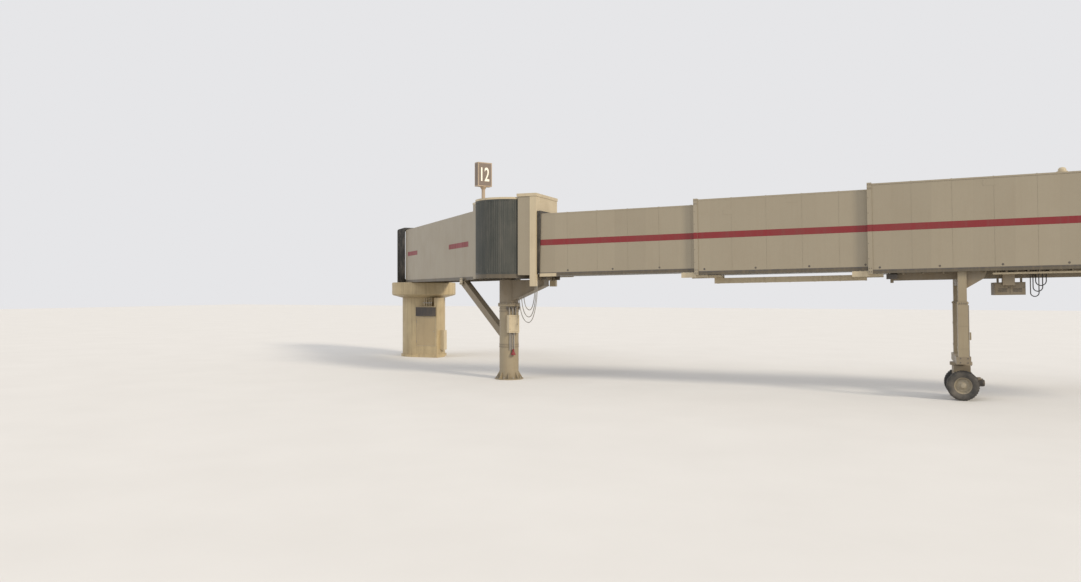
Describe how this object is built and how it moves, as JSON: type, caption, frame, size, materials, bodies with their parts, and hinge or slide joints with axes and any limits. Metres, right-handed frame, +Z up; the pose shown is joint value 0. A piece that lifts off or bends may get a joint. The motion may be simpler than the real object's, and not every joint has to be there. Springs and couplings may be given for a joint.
{
  "type": "jet bridge",
  "caption": "Apron drive jet bridge with a fixed walkway, slatted rotunda, telescoping tunnels, lift columns on a wheeled bogie, and a cab.",
  "frame": {"origin": "on the ground under the rotunda column, on the swing axis, at the underside of the column's base plate", "axes": "+X along the tunnels toward the aircraft, +Z up, the fixed walkway leaves toward -X and +Y"},
  "size_m": [39.163, 13.174, 9.05],
  "materials": {
    "wall_panels": "flat painted steel panels with weathering",
    "trim_paint": "cream painted steel",
    "structure_paint": "brown-beige painted steel",
    "dark_steel": "dark painted steel",
    "slats": "grey-green coated aluminium slats",
    "seal_rubber": "matt black rubber",
    "tyre_rubber": "solid tyre rubber",
    "pier_stone": "clad concrete",
    "cab_glass": "tinted glass"
  },
  "bodies": {
    "fixed": {"terminal_seal": "seal_rubber", "walkway_floor": "structure_paint", "walkway_walls": "wall_panels", "walkway_roof": "trim_paint", "pier_shaft": "pier_stone", "pier_cap": "pier_stone", "pier_door": "trim_paint", "rotunda_portal": "trim_paint", "rotunda_floor": "structure_paint", "rotunda_roof": "trim_paint", "curtain_near": "slats", "curtain_far": "slats", "rotunda_column": "structure_paint", "column_struts": "structure_paint", "junction_box": "trim_paint", "gate_sign": "dark_steel"},
    "swing": {"swing_frame": "trim_paint", "swing_sides": "wall_panels", "swing_floor": "structure_paint", "swing_roof": "trim_paint", "swing_bracket": "structure_paint", "hinge_seal": "seal_rubber"},
    "tunnel_a": {"tunnel_a_floor": "structure_paint", "tunnel_a_walls": "wall_panels", "tunnel_a_roof": "trim_paint"},
    "tunnel_b": {"tunnel_b_frame": "trim_paint", "tunnel_b_floor": "structure_paint", "tunnel_b_walls": "wall_panels", "tunnel_b_roof": "trim_paint", "tunnel_b_rollers": "trim_paint"},
    "tunnel_c": {"tunnel_c_frame": "trim_paint", "tunnel_c_floor": "structure_paint", "tunnel_c_walls": "wall_panels", "tunnel_c_roof": "trim_paint", "tunnel_c_rollers": "trim_paint", "tunnel_c_underframe": "structure_paint", "equipment_boxes": "structure_paint", "lift_tubes": "wall_panels", "cab_floor": "structure_paint", "cab_roof": "trim_paint", "cab_curtains": "slats", "cab_walls": "wall_panels", "cab_windows": "cab_glass", "cab_canopy": "seal_rubber", "cab_bumper": "seal_rubber"},
    "lift": {"lift_legs": "wall_panels", "bogie_frame": "structure_paint", "wheels": "tyre_rubber", "wheel_motors": "dark_steel"}
  },
  "joints": [
    {"name": "rotunda_swing", "type": "hinge", "parent": "fixed", "child": "swing", "pos_m": [0, 0, 0], "axis": [0, 0, 1], "range_deg": [-110, 30], "deforming": ["curtain_near", "curtain_far"]},
    {"name": "tunnel_pitch", "type": "hinge", "parent": "swing", "child": "tunnel_a", "pos_m": [1.75, 0, 4.19], "axis": [0, -1, 0], "range_deg": [-1.6, 3], "deforming": ["hinge_seal"]},
    {"name": "tunnel_b_slide", "type": "slide", "parent": "tunnel_a", "child": "tunnel_b", "axis": [0.9998, 0, 0.0175], "range_m": [-4.4, 1.4]},
    {"name": "tunnel_c_slide", "type": "slide", "parent": "tunnel_b", "child": "tunnel_c", "axis": [0.9998, 0, 0.0175], "range_m": [-4.4, 1.4]},
    {"name": "lift_travel", "type": "slide", "parent": "tunnel_c", "child": "lift", "axis": [0.0175, 0, -0.9998], "range_m": [-0.424, 0.794]}
  ],
  "couplings": [
    {"joint": "tunnel_c_slide", "follows": "tunnel_b_slide", "ratio": 1},
    {"joint": "lift_travel", "follows": "tunnel_pitch", "m_per_rad": 15.16}
  ]
}
